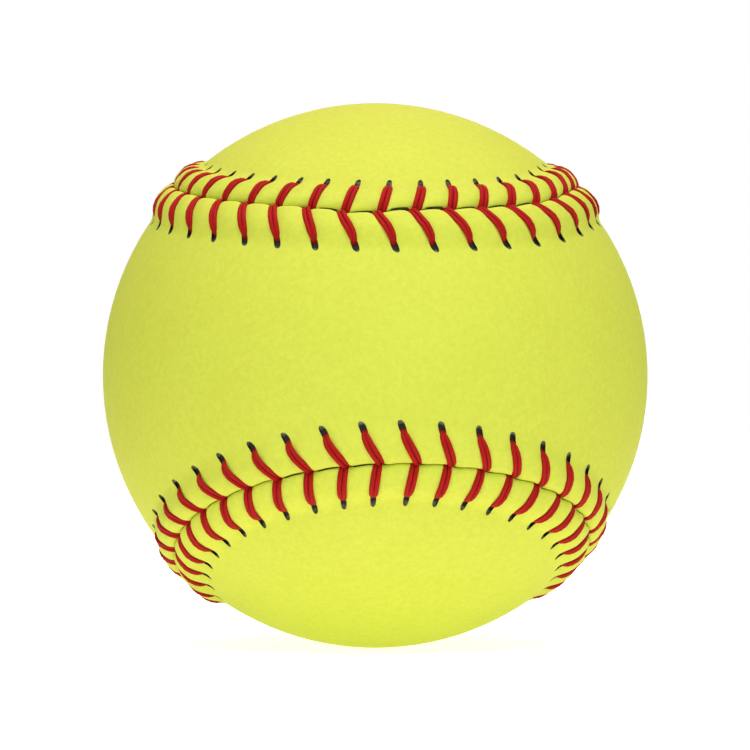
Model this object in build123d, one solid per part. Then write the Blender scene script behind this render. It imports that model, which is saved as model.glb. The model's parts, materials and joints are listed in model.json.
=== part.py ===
"""A twelve-inch fastpitch softball.

A solid moulded core carries two equal leather panels. Their edges stand up as a pair of
rolled lips along one endless seam, and two threads lace the lips together through needle
holes: each thread comes up through a hole, lies over the lip, dives into the slit between
the panels and runs under the other panel to that panel's next hole.

The seam is four equal arcs on the ball. Two bow round the ends of the rear panel, which
reach over the top and the bottom to the front, and two bow round the ends of the front
panel, which reach round the sides to the back. Z is up, the front is towards -Y, and the
origin is the middle of the ball.
"""

from build123d import *
import math
import os

# Driving dimensions, in millimetres and degrees
BALL_RADIUS = 48.5  # over the plain leather, twelve inches round
LEATHER = 1.2
CEMENT = 0.15  # film that glues the leather down, and so the gap left for it
WAIST_WIDTH = 44.1  # seam to seam across the narrow middle of a panel
LAY_BACK = 8.2  # how far the ball lies rolled back, in degrees

# The rolled lips beside the seam
LIP_RISE = 1.5  # height of the crest over the plain leather
CREST_OUT = 2.6  # crest to seam
CROWN_RADIUS = 5.5
LIP_REACH = 9.0  # seam to where the flank runs out into the plain leather
SLIT = 0.3  # gap between the two leather edges

# The lacing
STITCHES_AN_ARC = 22
THREAD_WIDTH = 1.5  # the two strands of one leg, side by side
THREAD_THICK = 0.8
BURIED_THICK = 0.5  # the same two strands pressed flat under the leather
HOLE_OUT = 6.6  # middle of a needle hole to the seam
HOLE_LENGTH = 2.3
STITCH_LEAN = 2.3  # how far along the seam a stitch dives past its holes
LEGS_APART = 2.2  # between the two legs of a stitch, where they dive into the slit
THREAD_GAP = 0.15  # thread to leather, all round

ORIGIN = Vector(0, 0, 0)
PASS = 3.0  # how far a cutting shape runs past what it cuts

# The arcs of the seam: each is a circle on the ball, about an axis that leans by axis_lean
waist_angle = WAIST_WIDTH / 2 / BALL_RADIUS
axis_lean = math.atan2(math.sqrt(0.5) - math.sin(waist_angle), math.cos(waist_angle))
arc_angle = math.acos(math.cos(axis_lean) * math.sqrt(0.5))
half_turn = math.pi / 2 + math.atan(math.sin(axis_lean))
arc_length = 2 * half_turn * BALL_RADIUS * math.sin(arc_angle)
pitch = arc_length / STITCHES_AN_ARC
stitches = 4 * STITCHES_AN_ARC


def arc_frame(end):
    """Frame of one arc: Z is its axis, towards the panel end, and X points to the arc's middle."""
    waist = Vector(0, -1, 0) if end.X == 0 else Vector(0, 1, 0)
    axis = end * math.cos(axis_lean) + waist * math.sin(axis_lean)
    middle = waist * math.cos(axis_lean) - end * math.sin(axis_lean)
    return Plane(origin=ORIGIN, x_dir=middle, z_dir=axis)


# In the order the lacing travels: rear panel's top end, front panel's left end, and so on
arc_frames = [
    arc_frame(Vector(0, 0, 1)),
    arc_frame(Vector(-1, 0, 0)),
    arc_frame(Vector(0, 0, -1)),
    arc_frame(Vector(1, 0, 0)),
]


def on_ball(along, aside):
    """Point on the ball: distance along the seam, and beside it towards the front panel."""
    arc = int(along // arc_length) % 4
    facing = 1 if arc % 2 == 0 else -1
    polar = arc_angle + facing * aside / BALL_RADIUS
    turn = -facing * (along % arc_length - arc_length / 2) / (BALL_RADIUS * math.sin(arc_angle))
    outward = Vector(
        math.sin(polar) * math.cos(turn),
        math.sin(polar) * math.sin(turn),
        math.cos(polar),
    )
    return arc_frames[arc].from_local_coords(outward * BALL_RADIUS)


def polar_point(angle, height):
    """Point in a plane through the ball's middle, by angle from that plane's Y axis."""
    radius = BALL_RADIUS + height
    return (radius * math.sin(angle), radius * math.cos(angle))


# The lip in section: a crown arc round the crest, then a flank that leaves it at a tangent
crown_drop = LIP_RISE - CROWN_RADIUS
toe_distance = math.hypot(LIP_REACH - CREST_OUT, crown_drop)
tangent_angle = math.atan2(-crown_drop, LIP_REACH - CREST_OUT) + math.acos(CROWN_RADIUS / toe_distance)
FLANK_START = CREST_OUT + CROWN_RADIUS * math.cos(tangent_angle)


def lip_height(aside):
    """Height of the leather over the plain ball, at a distance from the seam."""
    if aside < FLANK_START:
        return crown_drop + math.sqrt(CROWN_RADIUS**2 - (aside - CREST_OUT) ** 2)
    start = crown_drop + CROWN_RADIUS * math.sin(tangent_angle)
    return start * (LIP_REACH - aside) / (LIP_REACH - FLANK_START)


def lip_profile(drop):
    """Section across both lips, lowered by drop, closed well below the leather."""
    root = LIP_REACH + (LIP_REACH - FLANK_START) / 2

    def at(aside):
        height = lip_height(abs(aside)) - drop
        return polar_point(arc_angle + aside / BALL_RADIUS, height)

    outline = [
        Line(at(-root), at(-FLANK_START)),
        ThreePointArc(at(-FLANK_START), at(-CREST_OUT), at(0)),
        ThreePointArc(at(0), at(CREST_OUT), at(FLANK_START)),
        Line(at(FLANK_START), at(root)),
        Line(at(root), at(-root)),
    ]
    return make_face(outline)


def slit_profile():
    """Section of the slit, from inside the ball to clear of the lips."""
    half = SLIT / 2 / BALL_RADIUS
    corners = [
        polar_point(arc_angle - half, -PASS),
        polar_point(arc_angle - half, PASS),
        polar_point(arc_angle + half, PASS),
        polar_point(arc_angle + half, -PASS),
    ]
    return make_face(Polyline(*corners, close=True))


def along_seam(profile):
    """Carries a section round all four arcs of the seam."""
    turned = math.degrees(half_turn)
    rings = []
    for frame in arc_frames:
        section = frame.location * Rot(Z=-turned) * Rot(X=90) * profile
        rings.append(revolve(section, Axis(ORIGIN, frame.z_dir), 2 * turned))
    return rings


class Leg:
    """The upright plane of one thread leg, through its place in the slit and its hole."""

    def __init__(self, slit_along, hole_along, side):
        slit = on_ball(slit_along, 0)
        hole = on_ball(hole_along, side * HOLE_OUT)
        up = slit.normalized()
        out = (hole - up * hole.dot(up)).normalized()
        self.plane = Plane(origin=ORIGIN, x_dir=out, z_dir=out.cross(up))
        self.seam_way = (on_ball(slit_along + SLIT, 0) - on_ball(slit_along - SLIT, 0)).normalized()
        self.stretch = BALL_RADIUS * math.radians(up.get_angle(hole)) / HOLE_OUT

    def at(self, aside, height):
        return polar_point(aside * self.stretch / BALL_RADIUS, height)

    def slab(self, outline, width):
        """A flat outline in this plane, given its width along the seam."""
        face = self.plane * make_face(outline)
        return extrude(face, width / 2, dir=self.seam_way, both=True)


# Heights and places of the thread
buried_low = -(LEATHER + CEMENT) + THREAD_GAP
buried_middle = buried_low + BURIED_THICK / 2
hole_start = HOLE_OUT - HOLE_LENGTH / 2
hole_end = HOLE_OUT + HOLE_LENGTH / 2
column_start = hole_start + THREAD_GAP
half_thick = THREAD_THICK / 2


def over_leg(leg):
    """Up through the hole, over the lip and down into the slit."""
    over_lip = [column_start, FLANK_START, CREST_OUT, CREST_OUT / 2, half_thick]
    rests = [leg.at(aside, lip_height(aside) + THREAD_GAP) for aside in over_lip]
    path = Polyline(
        leg.at(column_start, buried_middle),
        *rests,
        leg.at(half_thick, buried_middle),
    )
    band = path.offset_2d(THREAD_THICK, kind=Kind.INTERSECTION, side=Side.RIGHT, closed=True)
    return leg.slab(band, THREAD_WIDTH)


def buried_run(leg):
    """Flat under the leather, from the slit to the next hole."""
    stops = [0, HOLE_OUT / 2, column_start + THREAD_THICK]
    lower = [leg.at(aside, buried_low) for aside in stops]
    upper = [leg.at(aside, buried_low + BURIED_THICK) for aside in reversed(stops)]
    return leg.slab(Polyline(*lower, *upper, close=True), THREAD_WIDTH)


def needle_hole(leg):
    """Slot through the leather, pulled long by the thread."""
    corners = [
        leg.at(hole_start, -PASS),
        leg.at(hole_start, PASS),
        leg.at(hole_end, PASS),
        leg.at(hole_end, -PASS),
    ]
    return leg.slab(Polyline(*corners, close=True), THREAD_WIDTH + 2 * THREAD_GAP)


def slit_notch(along):
    """Where the slit opens for the two legs of a stitch."""
    middle = on_ball(along, 0)
    way = on_ball(along + SLIT, 0) - on_ball(along - SLIT, 0)
    across = THREAD_THICK + 2 * THREAD_GAP
    length = LEGS_APART + THREAD_WIDTH + THREAD_THICK
    return Plane(origin=middle, x_dir=way, z_dir=middle) * Box(length, across, 2 * PASS)


# Each stitch has one leg on the front panel and one on the rear panel
FRONT, REAR = 1, -1
threads = [[], []]
openings = []
for count in range(stitches):
    hole_along = count * pitch
    dive_along = hole_along + STITCH_LEAN
    openings.append(slit_notch(dive_along))
    for side in (FRONT, REAR):
        slit_along = dive_along + side * LEGS_APART / 2
        leg = Leg(slit_along, hole_along, side)
        openings.append(needle_hole(leg))
        thread = threads[(count + (side == REAR)) % 2]
        thread.append(over_leg(leg))
        if count < stitches - 1:
            thread.append(buried_run(Leg(slit_along, hole_along + pitch, -side)))

# The leather: one skin with its lips, hollow under them, then slit into the two panels
core = Sphere(BALL_RADIUS - LEATHER - CEMENT)
skin = Sphere(BALL_RADIUS) + along_seam(lip_profile(0))
skin -= [Sphere(BALL_RADIUS - LEATHER)] + along_seam(lip_profile(LEATHER))
skin -= along_seam(slit_profile()) + openings
cover_front, cover_rear = skin.solids().sort_by(Axis.Y)

pieces = {
    "core": core,
    "cover_panel_front": cover_front,
    "cover_panel_rear": cover_rear,
    "lacing_thread_1": Part() + threads[0],
    "lacing_thread_2": Part() + threads[1],
}

os.makedirs("parts", exist_ok=True)
for name, piece in pieces.items():
    export_step(Rot(X=-LAY_BACK) * piece, f"parts/{name}.step")
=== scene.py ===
"""The looks of a twelve-inch fastpitch softball: two leather panels rolled up into lips along one closed
seam, laced with doubled red thread. Metres, Z up, front towards -Y, the ball's middle at the origin."""

import json
import math

import bpy
import numpy as np
from mathutils import Matrix, Vector

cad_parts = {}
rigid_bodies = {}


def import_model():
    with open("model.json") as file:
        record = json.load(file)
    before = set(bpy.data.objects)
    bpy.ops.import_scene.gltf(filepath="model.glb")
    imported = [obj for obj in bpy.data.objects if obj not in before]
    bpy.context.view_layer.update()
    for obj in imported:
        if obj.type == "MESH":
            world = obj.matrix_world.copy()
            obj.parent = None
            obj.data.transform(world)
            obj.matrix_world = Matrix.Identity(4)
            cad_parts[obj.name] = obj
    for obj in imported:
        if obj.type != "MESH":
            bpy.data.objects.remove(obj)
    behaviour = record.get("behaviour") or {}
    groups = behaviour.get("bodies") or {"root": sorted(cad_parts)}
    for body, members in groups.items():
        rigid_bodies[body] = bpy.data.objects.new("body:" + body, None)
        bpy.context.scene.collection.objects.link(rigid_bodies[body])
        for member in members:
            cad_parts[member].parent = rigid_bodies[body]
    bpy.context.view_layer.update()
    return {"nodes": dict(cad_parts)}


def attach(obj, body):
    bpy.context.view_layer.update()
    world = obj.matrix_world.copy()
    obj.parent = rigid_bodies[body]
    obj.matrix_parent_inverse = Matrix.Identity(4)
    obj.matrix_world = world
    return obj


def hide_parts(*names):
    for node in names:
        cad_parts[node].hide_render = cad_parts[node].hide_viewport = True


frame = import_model()

MM = 0.001
FRONT, REAR = 1, -1  # the two panels, as the way from the seam to each
ROW_OF = {FRONT: 0, REAR: 1}  # a panel's row in the lists of holes, dives and swellings

# The ball and its seam
BALL_RADIUS = 48.5 * MM
LEATHER = 1.2 * MM
WAIST_WIDTH = 44.1 * MM  # between the seams across a panel's waist
LAY_BACK = math.radians(8.2)  # the ball lies tipped back on the floor
STITCHES = 88
UPPER_MIDDLE = STITCHES / 8  # the stitch at the middle of the upper seam
SEAM_STRAY = 1.3 * MM  # how far the seam strays to the rear at the right end of the upper seam
STRAY_AT = 3.6  # the stitch where it strays most
STRAY_WIDTH = 1.9  # in stitches, to each side

# The lips
LIP_RISE = 1.5 * MM
CREST_OUT = 2.2 * MM
CROWN_RADIUS = 5.5 * MM
LIP_FULL = 2.9 * MM  # how far out the lip stays full
LIP_REACH = 7.3 * MM
EDGE_ROLL = 0.55 * MM  # radius of the rolled edge at the slit
# where the lips lie flatter: the stitch, how many stitches to each side, and what share of the rise is lost
LIP_FLAT = [(65.5, 3.5, 0.35), (44.4, 3, 0.12)]

# The slit between the lips
SLIT = 0.03 * MM
SLIT_BACK_LOWER = -0.05 * MM  # how far it lies behind the middle between the rows of holes, on the lower seam
SLIT_BACK_UPPER = 0.35 * MM  # and on the upper seam
SLIT_STEP = 0.26 * MM  # how far it steps at each stitch of the upper seam
STEP_START = 0.85  # the share of the way from dive to dive where it starts to step back
SLIT_ARCH = 0.42 * MM  # how far it arches between the stitches of the lower seam
SLIT_DIP = 0.75 * MM  # how far it dips forward at the middle of the upper seam
DIP_AT = 12.1  # the stitch where it dips most
DIP_WIDTH = 0.9  # in stitches, to each side
WANDER_REACH = 6 * MM  # the leather follows the slit's own line up to here
SLIT_OPEN = 0.16 * MM  # how far a lip may be drawn back between two stitches
OPEN_START = 0.8 * MM  # it is drawn back in full this far past a dive
OPEN_END = (3 * MM, 5.8 * MM)  # and comes back between these
OPEN_FADE = 0.6 * MM  # how far out the lip is drawn with its edge
OPEN_SHOWS = [0.03 * MM, 0.1 * MM]  # drawn back this far, one and two more rows of the lip's edge take the painted shade of the slit

# The holes
HOLE_OUT = 6.3 * MM
HOLE_LENGTH = 2.7 * MM
HOLE_WIDE = 1.15 * MM
HOLE_DEEP = 0.55 * MM
HOLE_STEPS = (0.2, 0.8)  # shares of the depth: the short first step keeps the rim crisp
HOLE_CORNER = 2.6  # the power of a hole's round outline, where 2 is an ellipse and more is squarer
HOLE_SLANT = 0.25  # the share of a leg, from its hole, whose slant the hole takes
HOLE_PRESS = 0.1 * MM  # how deep the leather is drawn in about a hole
HOLE_DENT = (1.5 * MM, 1.9 * MM)  # how far from the hole that reaches, along the seam and across it

# The lacing
STRAND_RADIUS = 0.42 * MM
STRAND_FLAT = 0.72  # a strand's height as a share of its width, as it is pulled flat
STRAND_SIDES = 8
LEG_BOW = 1.35  # a leg leans more towards the slit than at its hole
# where a stitch's holes and its dives lie along the seam, front and rear: the mean, how much more on the
# upper seam, and how much the pull of the thread changes once and twice round the seam
HOLE_AHEAD = [(0.5 * MM, 0.3 * MM, 0.5 * MM, 0.25 * MM), (1.15 * MM, 0.0 * MM, 0.6 * MM, 0.4 * MM)]
DIVE_AHEAD = [(3.4 * MM, 0.4 * MM, 0.3 * MM, -0.1 * MM), (2.45 * MM, 0.25 * MM, 0.7 * MM, -0.4 * MM)]

# The leather under the lacing
LEG_PRESS = 0.3 * MM  # how deep a leg beds in the leather
LEG_PULL = 2.1  # at the slit, where it is pulled down, it beds this many times as deep
LEG_PULL_REACH = 4 * MM
LEG_BED = 0.88 * MM  # half the width of that bed
BED_END = (HOLE_OUT - 0.4 * MM, HOLE_OUT + 1.2 * MM)  # the bed runs out between these
DIVE_PRESS = 0.3 * MM  # how much deeper the lips are drawn in where the threads dive
DIVE_DENT = 1.3 * MM  # how far along the seam that reaches
DIVE_REACH = 1.2 * MM  # and how far aside of it
PUFF = 0.28 * MM  # how far the leather swells between two legs
PUFF_AT_SLIT = 0.4  # the share of that at the slit
PUFF_FULL = 1.5 * MM  # it swells in full from here
PUFF_END = (4 * MM, 7.5 * MM)  # and runs out between these

# How unevenly the ball was sewn
SEWING_SEED = 27
HOLE_UNEVEN = 0.1 * MM
DIVE_UNEVEN = 0.12 * MM
PUFF_UNEVEN = (0.55, 1.25)  # shares of the full swelling
OPEN_UNEVEN = (0.05, 0.15)  # shares of the full opening

# The lines of faces
COLUMNS = 18  # of faces along the seam for each stitch
HOLE_COLUMNS = 2  # of faces each side of a needle hole's middle
HOLE_ROWS = 3
ROUND_REACH = 2.2  # the lines round a hole are straight again at this many times its size
DRAWN_REACH = 4.4  # and they are drawn towards it from this many times its size
WELD = 0.002 * MM  # points nearer than this are one
LEATHER_SHARP = math.radians(55)  # an edge sharper than this isn't shaded smooth
STRAND_SHARP = math.radians(60)

# The light, where 1 shows a colour as it is written
TABLE_LIGHT = 0.47
ROOM_LIGHT = 0.01
FRONT_LIGHT = 0.01

# The seam: four equal arcs on the ball, tangent where they meet
waist_angle = WAIST_WIDTH / 2 / BALL_RADIUS
axis_lean = math.atan2(math.sqrt(0.5) - math.sin(waist_angle), math.cos(waist_angle))
arc_angle = math.acos(math.cos(axis_lean) * math.sqrt(0.5))
half_turn = math.pi / 2 + math.atan(math.sin(axis_lean))
arc_length = 2 * half_turn * BALL_RADIUS * math.sin(arc_angle)
PITCH = 4 * arc_length / STITCHES
laid_back = Matrix.Rotation(-LAY_BACK, 3, "X")


def smooth(low, high, value):
    """Goes from 0 at the low value to 1 at the high one, level at both ends."""
    share = np.clip((value - low) / (high - low), 0, 1)
    return share * share * (3 - 2 * share)


def hump(away, width):
    """Goes from 1 in the middle down to nearly 0 at twice its width."""
    return np.exp(-((away / width) ** 2))


def stitches_from(stitch, along):
    """How many stitches a place along the seam lies from a given stitch, by the shorter way round."""
    return (along / PITCH - stitch + STITCHES / 2) % STITCHES - STITCHES / 2


def round_seam(along):
    """A place along the seam as an angle, once round from the middle of the upper seam."""
    return 2 * math.pi * (along / PITCH - UPPER_MIDDLE) / STITCHES


# Each stitch as it was sewn, front and rear
wear = np.random.default_rng(SEWING_SEED)
turn = round_seam(np.arange(STITCHES) * PITCH)
pulls = np.stack([np.ones(STITCHES), np.cos(turn), np.sin(turn), np.sin(2 * turn)])
hole_ahead = np.array(HOLE_AHEAD) @ pulls + wear.normal(0, HOLE_UNEVEN, (2, STITCHES))
dive_ahead = np.array(DIVE_AHEAD) @ pulls + wear.normal(0, DIVE_UNEVEN, (2, STITCHES))
puff_share = wear.uniform(*PUFF_UNEVEN, (2, STITCHES))
# the slit is nearly closed all round, but open along the upper seam and at one place of the lower
open_share = wear.uniform(*OPEN_UNEVEN, STITCHES)
open_share[4:13] = 0.1, 0.15, 0.45, 0.6, 0.35, 0.7, 0.7, 0.35, 0.2
open_share[51:54] = 0.3


def seam_arc(end):
    """An arc's own axes: towards its middle, along it, and towards the panel end that it rounds."""
    waist = Vector((0, -1, 0)) if end.x == 0 else Vector((0, 1, 0))
    axis = end * math.cos(axis_lean) + waist * math.sin(axis_lean)
    middle = waist * math.cos(axis_lean) - end * math.sin(axis_lean)
    return [laid_back @ middle, laid_back @ axis.cross(middle), laid_back @ axis]


seam_arcs = np.array([seam_arc(Vector(end)) for end in ((0, 0, 1), (-1, 0, 0), (0, 0, -1), (1, 0, 0))])


def seam_turn(along):
    """Which arc a place along the seam is on, which way that arc faces, and the angle from its middle."""
    arc = (along // arc_length).astype(int) % 4
    facing = np.where(arc % 2 == 0, 1, -1)
    turn = -facing * (along % arc_length - arc_length / 2) / (BALL_RADIUS * math.sin(arc_angle))
    return arc, facing, turn


def on_ball(along, aside):
    """The direction from the ball's middle to a place along the seam and aside of it, positive towards the
    front panel."""
    arc, facing, turn = seam_turn(along)
    polar = arc_angle + facing * aside / BALL_RADIUS
    local = np.stack([np.sin(polar) * np.cos(turn), np.sin(polar) * np.sin(turn), np.cos(polar)], axis=-1)
    return np.einsum("...a,...ab->...b", local, seam_arcs[arc])


def panel_spine(along, side):
    """The middle line of a panel: round its waist from the centre of one round end to that of the other."""
    arc, facing, turn = seam_turn(along)
    swing = turn * (math.pi / 2 + axis_lean) / half_turn
    waist = np.array(laid_back @ Vector((0, -side, 0)))
    round_waist = np.cos(swing)[:, None] * waist + np.sin(swing)[:, None] * seam_arcs[arc, 1]
    return np.where((facing == side)[:, None], round_waist, seam_arcs[arc, 2])


def lip_height(along, aside):
    """The lip over the plain leather: a round crown that falls in a soft curve to the row of holes."""
    flat = sum(share * hump(stitches_from(stitch, along), reach) for stitch, reach, share in LIP_FLAT)
    crown = LIP_RISE - np.maximum(CREST_OUT - aside, 0) ** 2 / (2 * CROWN_RADIUS)
    return crown * (1 - flat) * (1 - smooth(LIP_FULL, LIP_REACH, aside))


def leg_depth(aside):
    """How deep a leg beds in the leather: deepest by the slit, where it is pulled down."""
    return LEG_PRESS * (LEG_PULL - (LEG_PULL - 1) * smooth(0, LEG_PULL_REACH, aside))


def leg_along(stitch, side, aside):
    """Where a leg of a stitch lies along the seam, aside of the slit, from that stitch's place."""
    row = ROW_OF[side]
    hole, dive = hole_ahead[row, stitch % STITCHES], dive_ahead[row, stitch % STITCHES]
    share = 1 - np.clip(1 - aside / HOLE_OUT, 0, 1) ** LEG_BOW
    return dive + (hole - dive) * share


def leather_height(along, aside, side):
    """The outer face of a panel over the plain leather: the lip, pressed in under the legs and swollen
    between them."""
    row = ROW_OF[side]
    press = np.zeros_like(along)
    swell = np.zeros_like(along)
    stitch_now = np.floor(along / PITCH).astype(int)
    for step in (-1, 0, 1):
        stitch = stitch_now + step
        past = along - stitch * PITCH
        from_leg = past - leg_along(stitch, side, aside)
        from_dive = past - dive_ahead[:, stitch % STITCHES].mean(axis=0)
        from_hole = past - hole_ahead[row, stitch % STITCHES]
        dent = hump(from_leg, LEG_BED) * leg_depth(aside) * (1 - smooth(*BED_END, aside))
        dent += hump(from_dive, DIVE_DENT) * DIVE_PRESS * (1 - smooth(0, DIVE_REACH, aside))
        dent += hump(from_hole, HOLE_DENT[0]) * hump(aside - HOLE_OUT, HOLE_DENT[1]) * HOLE_PRESS
        press = np.maximum(press, dent)
        between = from_leg / PITCH - 0.5
        swollen = np.cos(math.pi * between) ** 2 * puff_share[row, stitch % STITCHES]
        swell += np.where(abs(between) < 0.5, swollen, 0)
    from_slit = PUFF_AT_SLIT + (1 - PUFF_AT_SLIT) * smooth(0, PUFF_FULL, aside)
    swell *= PUFF * from_slit * (1 - smooth(*PUFF_END, aside))
    edge = np.clip(1 - aside / EDGE_ROLL, 0, 1)
    return lip_height(along, aside) - press + swell - EDGE_ROLL * (1 - np.sqrt(1 - edge**2))


def slit_wander(along):
    """The slit's own line: behind the middle of the rows, stepping or arching from stitch to stitch, with one
    dip."""
    upper = (1 + np.cos(round_seam(along))) / 2
    share = ((along - DIVE_AHEAD[0][0]) / PITCH) % 1
    step = SLIT_STEP * (2 * share - 1 - 2 * smooth(STEP_START, 1, share))
    arch = SLIT_ARCH * np.sin(math.pi * share)
    back = SLIT_BACK_LOWER + (SLIT_BACK_UPPER - SLIT_BACK_LOWER) * upper
    dip = SLIT_DIP * hump(stitches_from(DIP_AT, along), DIP_WIDTH)
    return upper * step + (1 - upper) * arch + dip - back


def seam_stray(along):
    """How far the seam was sewn off its true line, where it strays."""
    return -SEAM_STRAY * hump(stitches_from(STRAY_AT, along), STRAY_WIDTH)


def by_seam(along, aside):
    """The direction to a place beside the seam as it was really sewn."""
    followed = slit_wander(along) * (1 - smooth(0, WANDER_REACH, abs(aside)))
    return on_ball(along, aside + followed + seam_stray(along))


def slit_gape(along):
    """How far each lip stands back from the slit's line: the thread draws the lips open from its dive to the
    next."""
    ahead = DIVE_AHEAD[0][0]
    stitch = np.floor((along - ahead) / PITCH).astype(int)
    past = along - ahead - stitch * PITCH
    drawn = smooth(0, OPEN_START, past) * (1 - smooth(*OPEN_END, past))
    return SLIT_OPEN * open_share[stitch % STITCHES] * drawn


def around_holes(along, aside, side):
    """Moves the lines of faces round the needle holes, so that each hole is a slot along its leg with round
    ends."""
    row = ROW_OF[side]
    usual = HOLE_AHEAD[row][0]
    stitch = np.round((along - usual) / PITCH).astype(int)
    half_wide = HOLE_COLUMNS * PITCH / COLUMNS
    across = (along - usual - stitch * PITCH) / half_wide
    down = (aside - HOLE_OUT) / (HOLE_LENGTH / 2)
    square = np.maximum(abs(across), abs(down))
    outline = (abs(across) ** HOLE_CORNER + abs(down) ** HOLE_CORNER) ** (1 / HOLE_CORNER)
    rounded = square / np.maximum(outline, 1e-9)  # a hole's middle doesn't divide by 0
    pull = rounded + (1 - rounded) * smooth(1, ROUND_REACH, square)
    near = 1 - smooth(1, DRAWN_REACH, square)
    lean = leg_along(stitch, side, HOLE_OUT * (1 - HOLE_SLANT)) - leg_along(stitch, side, HOLE_OUT)
    slant = lean / (HOLE_OUT * HOLE_SLANT)
    moved_down = down * pull * HOLE_LENGTH / 2
    moved_along = across * pull * (half_wide + near * (HOLE_WIDE / 2 - half_wide))
    moved_along += near * (hole_ahead[row, stitch % STITCHES] - usual - slant * moved_down)
    return stitch * PITCH + usual + moved_along, HOLE_OUT + moved_down


# Lines of faces across a panel: shares of the way from its strip to its middle line, then millimetres from
# the slit on the strip along the seam, and the same back under the leather
field_shares = [step / 10 for step in range(10, 0, -1)]
outer_rows = [11.2, 10.2, 9.4, 8.8, 8.3, 7.95]
hole_steps = range(HOLE_ROWS, -HOLE_ROWS - 1, -1)
hole_rows = [(HOLE_OUT + HOLE_LENGTH / 2 * step / HOLE_ROWS) / MM for step in hole_steps]
lip_rows = [4.6, 4.2, 3.7, 3.2, 2.7, 2.2, 1.75, 1.35, 1.0, 0.72, 0.5, 0.32, 0.18, 0.08, 0.0]
strip_rows = outer_rows + hole_rows + lip_rows
under_rows = [0.0, 1.5, 4.0, 7.0, 9.5, 11.2]
under_shares = [0.33, 0.66, 1.0]
first_hole_row = len(field_shares) + len(outer_rows)
face_rows = len(field_shares) + len(strip_rows) + len(under_rows) + len(under_shares) - 1


def deselect():
    bpy.ops.object.select_all(action="DESELECT")


def edit(mode):
    """Goes into edit mode with nothing selected."""
    bpy.ops.object.mode_set(mode="EDIT")
    bpy.ops.mesh.select_mode(type=mode)
    bpy.ops.mesh.select_all(action="DESELECT")


def panel(name, side):
    """One leather panel, laid as a strip of faces once round its whole edge, from the panel's middle line
    over the lip, down the slit and back under the leather to the middle line."""
    places = np.arange(STITCHES * COLUMNS + 1) / COLUMNS - 0.5
    along = places * PITCH + HOLE_AHEAD[ROW_OF[side]][0]
    spine = panel_spine(along, side)
    rim = by_seam(along, np.full_like(along, side * strip_rows[0] * MM))
    gape = slit_gape(along)
    lines = []

    def field(share, height):
        way = rim * (1 - share) + spine * share
        lines.append(way / np.linalg.norm(way, axis=1)[:, None] * (BALL_RADIUS + height))

    def strip(distance, height):
        moved_along, moved_aside = around_holes(along, np.full_like(along, distance), side)
        rise = leather_height(moved_along, moved_aside, side) if height is None else height
        drawn = SLIT / 2 + gape * np.exp(-distance / OPEN_FADE)
        lines.append(by_seam(moved_along, side * (moved_aside + drawn)) * (BALL_RADIUS + rise)[:, None])

    for share in field_shares:
        field(share, 0)
    for distance in strip_rows:
        strip(distance * MM, None)
    slit_row = len(lines) - 1
    for distance in under_rows:
        strip(distance * MM, lip_height(along, np.full_like(along, distance * MM)) - LEATHER)
    for share in under_shares:
        field(share, -LEATHER)

    columns, rows = len(along) - 1, len(lines) - 1
    deselect()
    bpy.ops.mesh.primitive_grid_add(x_subdivisions=columns, y_subdivisions=rows, size=1)
    leather = bpy.context.object
    leather.name = leather.data.name = name
    leather.data.vertices.foreach_set("co", np.concatenate(lines).ravel())
    for finish in (optic_leather, hole_painted_shade_and_glint, slit_shade_and_flesh):
        leather.data.materials.append(finish)

    # the faces over each needle hole, which take the painted shade and glint of a hole, and the flesh side
    # from the slit on, in the painted dark of the slit, which where the slit is open also covers one or two
    # rows of the lip's edge
    row_of, column_of = np.divmod(np.arange(columns * rows), columns)
    over_hole = (row_of >= first_hole_row) & (row_of < first_hole_row + 2 * HOLE_ROWS)
    over_hole &= abs((column_of + 0.5) % COLUMNS - COLUMNS / 2) < HOLE_COLUMNS
    # painted slit shade: the flesh side, and one or two rows of the lip's edge where the slit is open
    flesh_and_slit_shade_rows = row_of >= slit_row - np.digitize(gape, OPEN_SHOWS)[column_of]
    slots = np.where(over_hole, 1, np.where(flesh_and_slit_shade_rows, 2, 0))
    leather.data.polygons.foreach_set("material_index", slots.astype(np.int32))

    # the two ends of the strip are joined, and the needle holes are sunk
    edit("FACE")
    bpy.ops.mesh.select_all(action="SELECT")
    bpy.ops.mesh.remove_doubles(threshold=WELD)
    bpy.ops.mesh.normals_make_consistent(inside=False)
    bpy.ops.mesh.select_all(action="DESELECT")
    # the faces over the holes take the painted shade and glint of a hole
    leather.active_material_index = 1
    bpy.ops.object.material_slot_select()
    for share in HOLE_STEPS:
        bpy.ops.mesh.extrude_region_shrink_fatten(TRANSFORM_OT_shrink_fatten={"value": -share * HOLE_DEEP})
    for step in HOLE_STEPS:  # the wall of each step takes the hole's painted shade and glint, as the bottom does
        bpy.ops.mesh.select_more()
    bpy.ops.object.material_slot_assign()
    bpy.ops.object.mode_set(mode="OBJECT")
    bpy.ops.object.shade_smooth_by_angle(angle=LEATHER_SHARP)
    return leather


# A strand's middle line, from deep in its hole to deep in the slit, in millimetres: distance from the slit,
# lift over the bed of its leg, half the distance between the two strands, and the share of its full radius
strand_line = [
    (5.9, -1.0, 0.16, 0.75),
    (5.8, -0.4, 0.18, 0.8),
    (5.55, 0.02, 0.23, 0.86),
    (5.05, 0.32, 0.32, 0.96),
    (4.3, 0.42, 0.39, 1.0),
    (3.3, 0.44, 0.41, 1.0),
    (2.4, 0.44, 0.42, 1.0),
    (1.5, 0.42, 0.42, 1.0),
    (0.75, 0.28, 0.42, 1.0),
    (0.25, -0.1, 0.41, 1.0),
    (0.05, -0.85, 0.38, 0.95),
]


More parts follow.
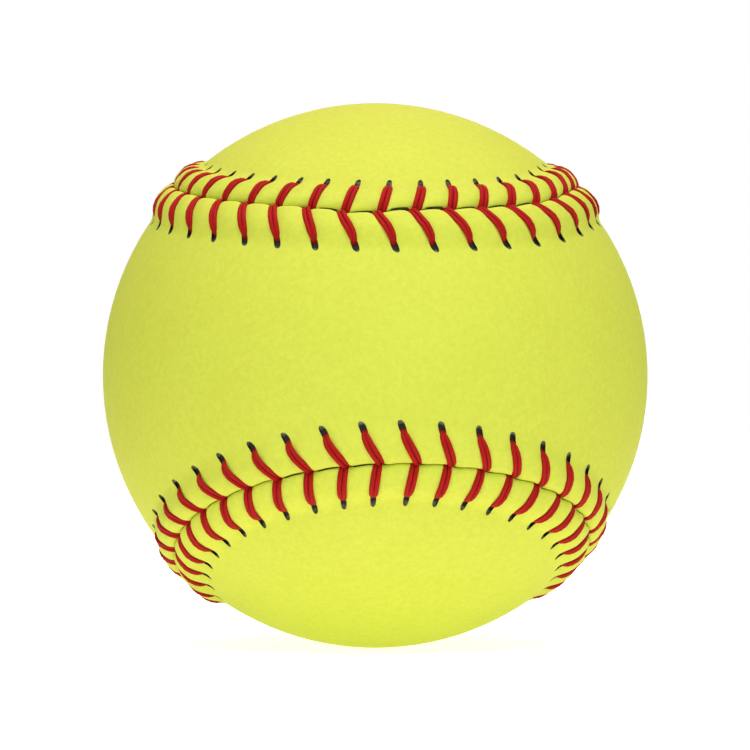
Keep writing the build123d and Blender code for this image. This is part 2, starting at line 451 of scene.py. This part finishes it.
def straight_strand():
    """One strand as it comes off the reel: a round rod with a ring of points for each place above."""
    deselect()
    bpy.ops.mesh.primitive_cylinder_add(vertices=STRAND_SIDES, radius=1, depth=1)
    rod = bpy.context.object
    edit("EDGE")
    bpy.ops.object.mode_set(mode="OBJECT")
    for edge in rod.data.edges:
        one, other = (rod.data.vertices[end].co.z for end in edge.vertices)
        edge.select = one * other < 0  # from one end to the other
    bpy.ops.object.mode_set(mode="EDIT")
    bpy.ops.mesh.subdivide(number_cuts=len(strand_line) - 2)
    bpy.ops.object.mode_set(mode="OBJECT")
    bpy.ops.object.shade_smooth_by_angle(angle=STRAND_SHARP)
    return rod


def leg_lines(stitch, side):
    """The middle lines of a leg's two strands, with the way across and the way out of the leather at each
    point, and the radius there."""
    distance, lift, apart, share = (np.array(column) for column in zip(*strand_line))
    distance, lift, apart = distance * MM, lift * MM, apart * MM
    along = stitch * PITCH + leg_along(stitch, side, distance)
    out = by_seam(along, side * distance)
    middle = out * (BALL_RADIUS + lip_height(along, distance) - leg_depth(distance) + lift)[:, None]
    way = np.gradient(middle, axis=0)
    across = np.cross(way, out)
    across[0], across[-1] = across[1], across[-2]
    across = across / np.linalg.norm(across, axis=1)[:, None]
    up = np.cross(across, way)
    up = up / np.linalg.norm(up, axis=1)[:, None]
    return [(middle + across * apart[:, None] * hand, across, up, STRAND_RADIUS * share) for hand in (-1, 1)]


def lacing(name, rod, first):
    """Every leg of one thread: it takes the front and the rear side of the seam by turns."""
    points = np.empty(len(rod.data.vertices) * 3)
    rod.data.vertices.foreach_get("co", points)
    points = points.reshape(-1, 3)
    station = np.round((points[:, 2] + 0.5) * (len(strand_line) - 1)).astype(int)
    strands = []
    for stitch in range(STITCHES):
        side = FRONT if stitch % 2 == first else REAR
        for line, across, up, radius in leg_lines(stitch, side):
            strand = rod.copy()
            strand.data = rod.data.copy()
            bpy.context.collection.objects.link(strand)
            width = across[station] * points[:, :1]
            depth = up[station] * points[:, 1:2] * STRAND_FLAT
            bent = line[station] + radius[station, None] * (width + depth)
            strand.data.vertices.foreach_set("co", bent.ravel())
            strands.append(strand)
    deselect()
    for strand in strands:
        strand.select_set(True)
    thread = strands[0]
    bpy.context.view_layer.objects.active = thread
    bpy.ops.object.join()
    thread.name = thread.data.name = name
    thread.data.materials.clear()
    thread.data.materials.append(waxed_thread)
    edit("FACE")
    bpy.ops.mesh.select_all(action="SELECT")
    bpy.ops.mesh.normals_make_consistent(inside=False)
    bpy.ops.object.mode_set(mode="OBJECT")
    return thread


# Materials

def tint(code):
    """An sRGB hex colour as linear red, green, blue and alpha."""
    parts = [int(code[place : place + 2], 16) / 255 for place in (1, 3, 5)]
    return [part / 12.92 if part <= 0.04045 else ((part + 0.055) / 1.055) ** 2.4 for part in parts] + [1]


def add_node(tree, kind, settings=None, **sockets):
    """Adds a node, sets its settings, and fills its sockets with values or with links from other nodes. A
    socket is given by its name, or by its number after an underscore."""
    node = tree.nodes.new(kind)
    for setting, value in (settings or {}).items():
        if setting == "stops":
            for stop, (position, colour) in zip(node.color_ramp.elements, value):
                stop.position, stop.color = position, tint(colour)
        else:
            setattr(node, setting, value)
    for socket, value in sockets.items():
        place = node.inputs[int(socket[1:]) if socket[1:].isdigit() else socket.replace("_", " ")]
        if isinstance(value, bpy.types.NodeSocket):
            tree.links.new(value, place)
        else:
            place.default_value = value
    return node


def start_material(name):
    finish = bpy.data.materials.new(name)
    finish.use_nodes = True
    finish.node_tree.nodes.clear()
    return finish, finish.node_tree


def seen_white(tree):
    """1 for a ray that has to find the room white, from the camera or by way of a reflection, and else 0."""
    ray = add_node(tree, "ShaderNodeLightPath").outputs
    mirrored = add_node(
        tree, "ShaderNodeMath", {"operation": "MAXIMUM"},
        _0=ray["Is Glossy Ray"], _1=ray["Is Transmission Ray"],
    )
    seen = add_node(
        tree, "ShaderNodeMath", {"operation": "MAXIMUM"},
        _0=ray["Is Camera Ray"], _1=mirrored.outputs[0],
    )
    return seen.outputs[0]


RELIEF = 0.1 * MM  # the full depth of a fine relief

# Chrome-tanned cowhide, dyed optic yellow and lightly finished: a soft broad sheen, a fine pebbled grain,
# faint clouds of colour, a little paler on the tops of the grain.
optic_leather, tree = start_material("tanned_leather_optic_yellow")
GRAIN = 0.6 * MM  # pebbles of the hide
CREASE = 1.1 * MM  # creases between groups of pebbles
CLOUD = 14 * MM  # patches where the dye took differently
place = add_node(tree, "ShaderNodeTexCoord").outputs["Object"]
pebbles = add_node(
    tree, "ShaderNodeTexVoronoi", {"feature": "SMOOTH_F1"},
    Vector=place, Scale=1 / GRAIN, Smoothness=0.6,
)
creases = add_node(tree, "ShaderNodeTexNoise", Vector=place, Scale=1 / CREASE, Detail=4, Roughness=0.55)
clouds = add_node(tree, "ShaderNodeTexNoise", Vector=place, Scale=1 / CLOUD, Detail=3, Roughness=0.5)
grain = add_node(
    tree, "ShaderNodeMath", {"operation": "MULTIPLY_ADD"},
    _0=pebbles.outputs["Distance"], _1=-0.35, _2=creases.outputs["Fac"],
)
dye = add_node(
    tree, "ShaderNodeValToRGB", {"stops": [(0.3, "#D9E058"), (0.7, "#DBE25C")]}, Fac=clouds.outputs["Fac"]
)
tops = add_node(
    tree, "ShaderNodeValToRGB", {"stops": [(0.15, "#F0F0EC"), (0.55, "#FFFFFF")]}, Fac=grain.outputs[0]
)
colour = add_node(
    tree, "ShaderNodeMix", {"data_type": "RGBA", "blend_type": "MULTIPLY"},
    _0=0.5, _6=dye.outputs[0], _7=tops.outputs[0],
)
sheen_spread = add_node(
    tree, "ShaderNodeMapRange",
    Value=creases.outputs["Fac"], From_Min=0.3, From_Max=0.7, To_Min=0.62, To_Max=0.72,
)
relief = add_node(tree, "ShaderNodeBump", Strength=0.22, Distance=RELIEF, Height=grain.outputs[0])
shader = add_node(
    tree, "ShaderNodeBsdfPrincipled",
    Base_Color=colour.outputs[2], Roughness=sheen_spread.outputs[0], IOR=1.5, Specular_IOR_Level=0.12,
    Normal=relief.outputs[0],
)
add_node(tree, "ShaderNodeOutputMaterial", Surface=shader.outputs[0])

# The raw hide in a punched needle hole, with painted shade and a painted glint: nearly black by the thread,
# and greyer at the hole's far end, where the glint stands for its lit far wall, broken up by fibres.
hole_painted_shade_and_glint, tree = start_material("punched_hole_painted_shade_and_glint")
FIBRE_AND_GLINT = 0.5 * MM
place = add_node(tree, "ShaderNodeTexCoord").outputs
fibres = add_node(
    tree, "ShaderNodeTexNoise", Vector=place["Object"], Scale=1 / FIBRE_AND_GLINT, Detail=3, Roughness=0.6
)
# the painted glint grows towards the hole's far end
row = add_node(tree, "ShaderNodeSeparateXYZ", Vector=place["UV"])
glint_end = add_node(
    tree, "ShaderNodeMapRange",
    Value=row.outputs["Y"], From_Min=(first_hole_row + HOLE_ROWS) / face_rows,
    From_Max=first_hole_row / face_rows, To_Min=0, To_Max=1,
)
painted_glint = add_node(
    tree, "ShaderNodeMath", {"operation": "MULTIPLY"}, _0=glint_end.outputs[0], _1=fibres.outputs["Fac"]
)
colour = add_node(
    tree, "ShaderNodeValToRGB", {"stops": [(0.2, "#070605"), (0.62, "#B8B0A0")]}, Fac=painted_glint.outputs[0]
)
relief = add_node(tree, "ShaderNodeBump", Strength=0.4, Distance=RELIEF, Height=fibres.outputs["Fac"])
shader = add_node(
    tree, "ShaderNodeBsdfPrincipled",
    Base_Color=colour.outputs[0], Roughness=0.7, IOR=1.45, Normal=relief.outputs[0],
)
add_node(tree, "ShaderNodeOutputMaterial", Surface=shader.outputs[0])

# The hide's cut edge and flesh side: undyed suede, dull and fibrous, but painted a dark olive that is the
# shade of the slit, and seen only as that dark; where the slit opens, one or two rows of the lip's outer edge
# are painted with it too.
slit_shade_and_flesh, tree = start_material("suede_and_painted_slit_shade")
NAP = 0.6 * MM
place = add_node(tree, "ShaderNodeTexCoord").outputs["Object"]
nap = add_node(tree, "ShaderNodeTexNoise", Vector=place, Scale=1 / NAP, Detail=4, Roughness=0.6)
colour = add_node(
    tree, "ShaderNodeValToRGB", {"stops": [(0.3, "#3A3A20"), (0.7, "#565633")]}, Fac=nap.outputs["Fac"]
)
relief = add_node(tree, "ShaderNodeBump", Strength=0.5, Distance=RELIEF, Height=nap.outputs["Fac"])
shader = add_node(
    tree, "ShaderNodeBsdfPrincipled",
    Base_Color=colour.outputs[0], Roughness=0.9, IOR=1.45, Normal=relief.outputs[0],
)
add_node(tree, "ShaderNodeOutputMaterial", Surface=shader.outputs[0])

# Cotton thread, dyed red and drawn through wax: a slight shine, with the fibres drawn long, darker between
# them. The fibres are drawn coarser than they are, so that they show.
waxed_thread, tree = start_material("waxed_cotton_thread_red")
FIBRE_WIDE = 0.2 * MM
FIBRE_LONG = 2 * MM
STRAND_ROUND = 2.5 * MM  # once round a strand
STRAND_LONG = 8.5 * MM  # a strand of one leg
place = add_node(tree, "ShaderNodeTexCoord").outputs["UV"]
drawn = add_node(
    tree, "ShaderNodeVectorMath", {"operation": "MULTIPLY"},
    _0=place, _1=(STRAND_ROUND / FIBRE_WIDE, STRAND_LONG / FIBRE_LONG, 0),
)
fibres = add_node(tree, "ShaderNodeTexNoise", Vector=drawn.outputs[0], Scale=1, Detail=2, Roughness=0.6)
colour = add_node(
    tree, "ShaderNodeValToRGB", {"stops": [(0.3, "#8A0A0A"), (0.6, "#B41012")]}, Fac=fibres.outputs["Fac"]
)
relief = add_node(tree, "ShaderNodeBump", Strength=0.4, Distance=RELIEF, Height=fibres.outputs["Fac"])
shader = add_node(
    tree, "ShaderNodeBsdfPrincipled",
    Base_Color=colour.outputs[0], Roughness=0.65, IOR=1.45, Specular_IOR_Level=0.2, Normal=relief.outputs[0],
)
add_node(tree, "ShaderNodeOutputMaterial", Surface=shader.outputs[0])

# Moulded polyurethane: pale, faintly mottled, with the dull skin that the mould leaves.
moulded_core, tree = start_material("moulded_polyurethane_core")
CORE_MOTTLE = 8 * MM
place = add_node(tree, "ShaderNodeTexCoord").outputs["Object"]
mottle = add_node(tree, "ShaderNodeTexNoise", Vector=place, Scale=1 / CORE_MOTTLE, Detail=3, Roughness=0.5)
colour = add_node(
    tree, "ShaderNodeValToRGB", {"stops": [(0.3, "#A89B78"), (0.7, "#B8AB88")]}, Fac=mottle.outputs["Fac"]
)
relief = add_node(tree, "ShaderNodeBump", Strength=0.3, Distance=RELIEF, Height=mottle.outputs["Fac"])
shader = add_node(
    tree, "ShaderNodeBsdfPrincipled",
    Base_Color=colour.outputs[0], Roughness=0.55, IOR=1.5, Normal=relief.outputs[0],
)
add_node(tree, "ShaderNodeOutputMaterial", Surface=shader.outputs[0])

# Opal acrylic, the top of a light table: matt white with a very faint mottle. It lights the ball softly from
# below, and away from the ball it goes over into the white of the room.
opal_acrylic, tree = start_material("opal_acrylic_light_table")
TABLE_MOTTLE = 30 * MM
WHITE_FROM, WHITE_TO = 10 * MM, 80 * MM  # from under the ball, where the table goes over into white
LIT_FROM, LIT_TO = 100 * MM, 400 * MM  # and where the lamps in the table end
place = add_node(tree, "ShaderNodeTexCoord").outputs["Object"]
mottle = add_node(tree, "ShaderNodeTexNoise", Vector=place, Scale=1 / TABLE_MOTTLE, Detail=2)
colour = add_node(
    tree, "ShaderNodeValToRGB", {"stops": [(0.3, "#F6F6F6"), (0.7, "#FAFAFA")]}, Fac=mottle.outputs["Fac"]
)
shader = add_node(tree, "ShaderNodeBsdfDiffuse", Color=colour.outputs[0])
away = add_node(tree, "ShaderNodeVectorMath", {"operation": "LENGTH"}, _0=place)
to_white = add_node(
    tree, "ShaderNodeMapRange", {"interpolation_type": "SMOOTHSTEP"},
    Value=away.outputs["Value"], From_Min=WHITE_FROM, From_Max=WHITE_TO, To_Min=0.5, To_Max=1,
)
lamp_spread = add_node(
    tree, "ShaderNodeMapRange", {"interpolation_type": "SMOOTHSTEP"},
    Value=away.outputs["Value"], From_Min=LIT_FROM, From_Max=LIT_TO, To_Min=TABLE_LIGHT, To_Max=0,
)
seen = seen_white(tree)
strength = add_node(tree, "ShaderNodeMix", _0=seen, _2=lamp_spread.outputs[0], _3=to_white.outputs[0])
glow_colour = add_node(
    tree, "ShaderNodeMix", {"data_type": "RGBA"}, _0=seen, _6=tint("#FFFAE0"), _7=tint("#FFFFFF")
)
glow = add_node(tree, "ShaderNodeEmission", Color=glow_colour.outputs[2], Strength=strength.outputs[0])
both = add_node(tree, "ShaderNodeAddShader", _0=shader.outputs[0], _1=glow.outputs[0])
add_node(tree, "ShaderNodeOutputMaterial", Surface=both.outputs[0])

# The pieces
panels = [("leather_front", FRONT, "cover_panel_front"), ("leather_rear", REAR, "cover_panel_rear")]
for name, side, node in panels:
    leather = panel(name, side)
    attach(leather, "root")
    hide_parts(node)

rod = straight_strand()
threads = [("lacing_1", 0, "lacing_thread_1"), ("lacing_2", 1, "lacing_thread_2")]
for name, first, node in threads:
    thread = lacing(name, rod, first)
    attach(thread, "root")
    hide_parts(node)
bpy.data.objects.remove(rod)

core = frame["nodes"]["core"]
core.data.materials.clear()
core.data.materials.append(moulded_core)

# The floor
FLOOR_WIDE = 8  # metres
deselect()
bpy.ops.mesh.primitive_plane_add(size=FLOOR_WIDE, location=(0, 0, -BALL_RADIUS))
floor = bpy.context.object
floor.name = "floor"
floor.data.materials.append(opal_acrylic)
bpy.ops.object.transform_apply(location=True, rotation=False, scale=False)


def softbox(name, place, size, power, colour):
    """A square lamp that faces the ball."""
    deselect()
    bpy.ops.object.light_add(type="AREA", location=place)
    lamp = bpy.context.object
    lamp.name = name
    lamp.data.shape = "SQUARE"
    lamp.data.size = size
    lamp.data.energy = power
    lamp.data.color = tint(colour)[:3]
    lamp.rotation_euler = (-Vector(place)).to_track_quat("-Z", "Y").to_euler()


softbox("overhead_box", place=(0.0, -0.2, 0.85), size=0.8, power=7.4, colour="#FFE8EA")
softbox("front_box", place=(0.0, -0.65, 0.6), size=0.45, power=2.3, colour="#E2F8EE")
for name, right in (("right_card", 0.64), ("left_card", -0.64)):
    softbox(name, place=(right, -0.55, 0.3), size=0.45, power=1.25, colour="#DCFFA0")

# The room: white where it is seen, and a soft light that comes mostly from the front
world = bpy.context.scene.world or bpy.data.worlds.new("studio")
bpy.context.scene.world = world
world.use_nodes = True
tree = world.node_tree
tree.nodes.clear()
place = add_node(tree, "ShaderNodeTexCoord").outputs["Generated"]
way = add_node(tree, "ShaderNodeSeparateXYZ", Vector=place)
forward = add_node(
    tree, "ShaderNodeMapRange",
    Value=way.outputs["Y"], From_Min=0, From_Max=-1, To_Min=ROOM_LIGHT, To_Max=ROOM_LIGHT + FRONT_LIGHT,
)
strength = add_node(tree, "ShaderNodeMix", _0=seen_white(tree), _2=forward.outputs[0], _3=1.0)
room = add_node(tree, "ShaderNodeBackground", Color=tint("#FFFFFF"), Strength=strength.outputs[0])
add_node(tree, "ShaderNodeOutputWorld", Surface=room.outputs[0])

# The camera: level with the ball's middle, a little to its left, far enough off for the photograph's view
CAMERA_AWAY = 15 * BALL_RADIUS
CAMERA_ROUND = math.radians(-5.3)
SENSOR = 36  # millimetres
IMAGE = 750  # pixels
BALL_PIXELS = 272.4  # the ball's radius in the image
SHIFT_RIGHT, SHIFT_UP = -0.2, 0.5  # pixels
camera_place = (CAMERA_AWAY * math.sin(CAMERA_ROUND), -CAMERA_AWAY * math.cos(CAMERA_ROUND), 0)
outline_away = math.sqrt(CAMERA_AWAY**2 - BALL_RADIUS**2)  # from the camera to the ball's outline
deselect()
bpy.ops.object.camera_add(location=camera_place)
camera = bpy.context.object
camera.rotation_euler = (-camera.location).to_track_quat("-Z", "Y").to_euler()
camera.data.sensor_width = SENSOR
camera.data.lens = BALL_PIXELS * outline_away / BALL_RADIUS / IMAGE * SENSOR
camera.data.shift_x = SHIFT_RIGHT / IMAGE
camera.data.shift_y = SHIFT_UP / IMAGE
bpy.context.scene.camera = camera
bpy.context.scene.view_settings.view_transform = "Standard"
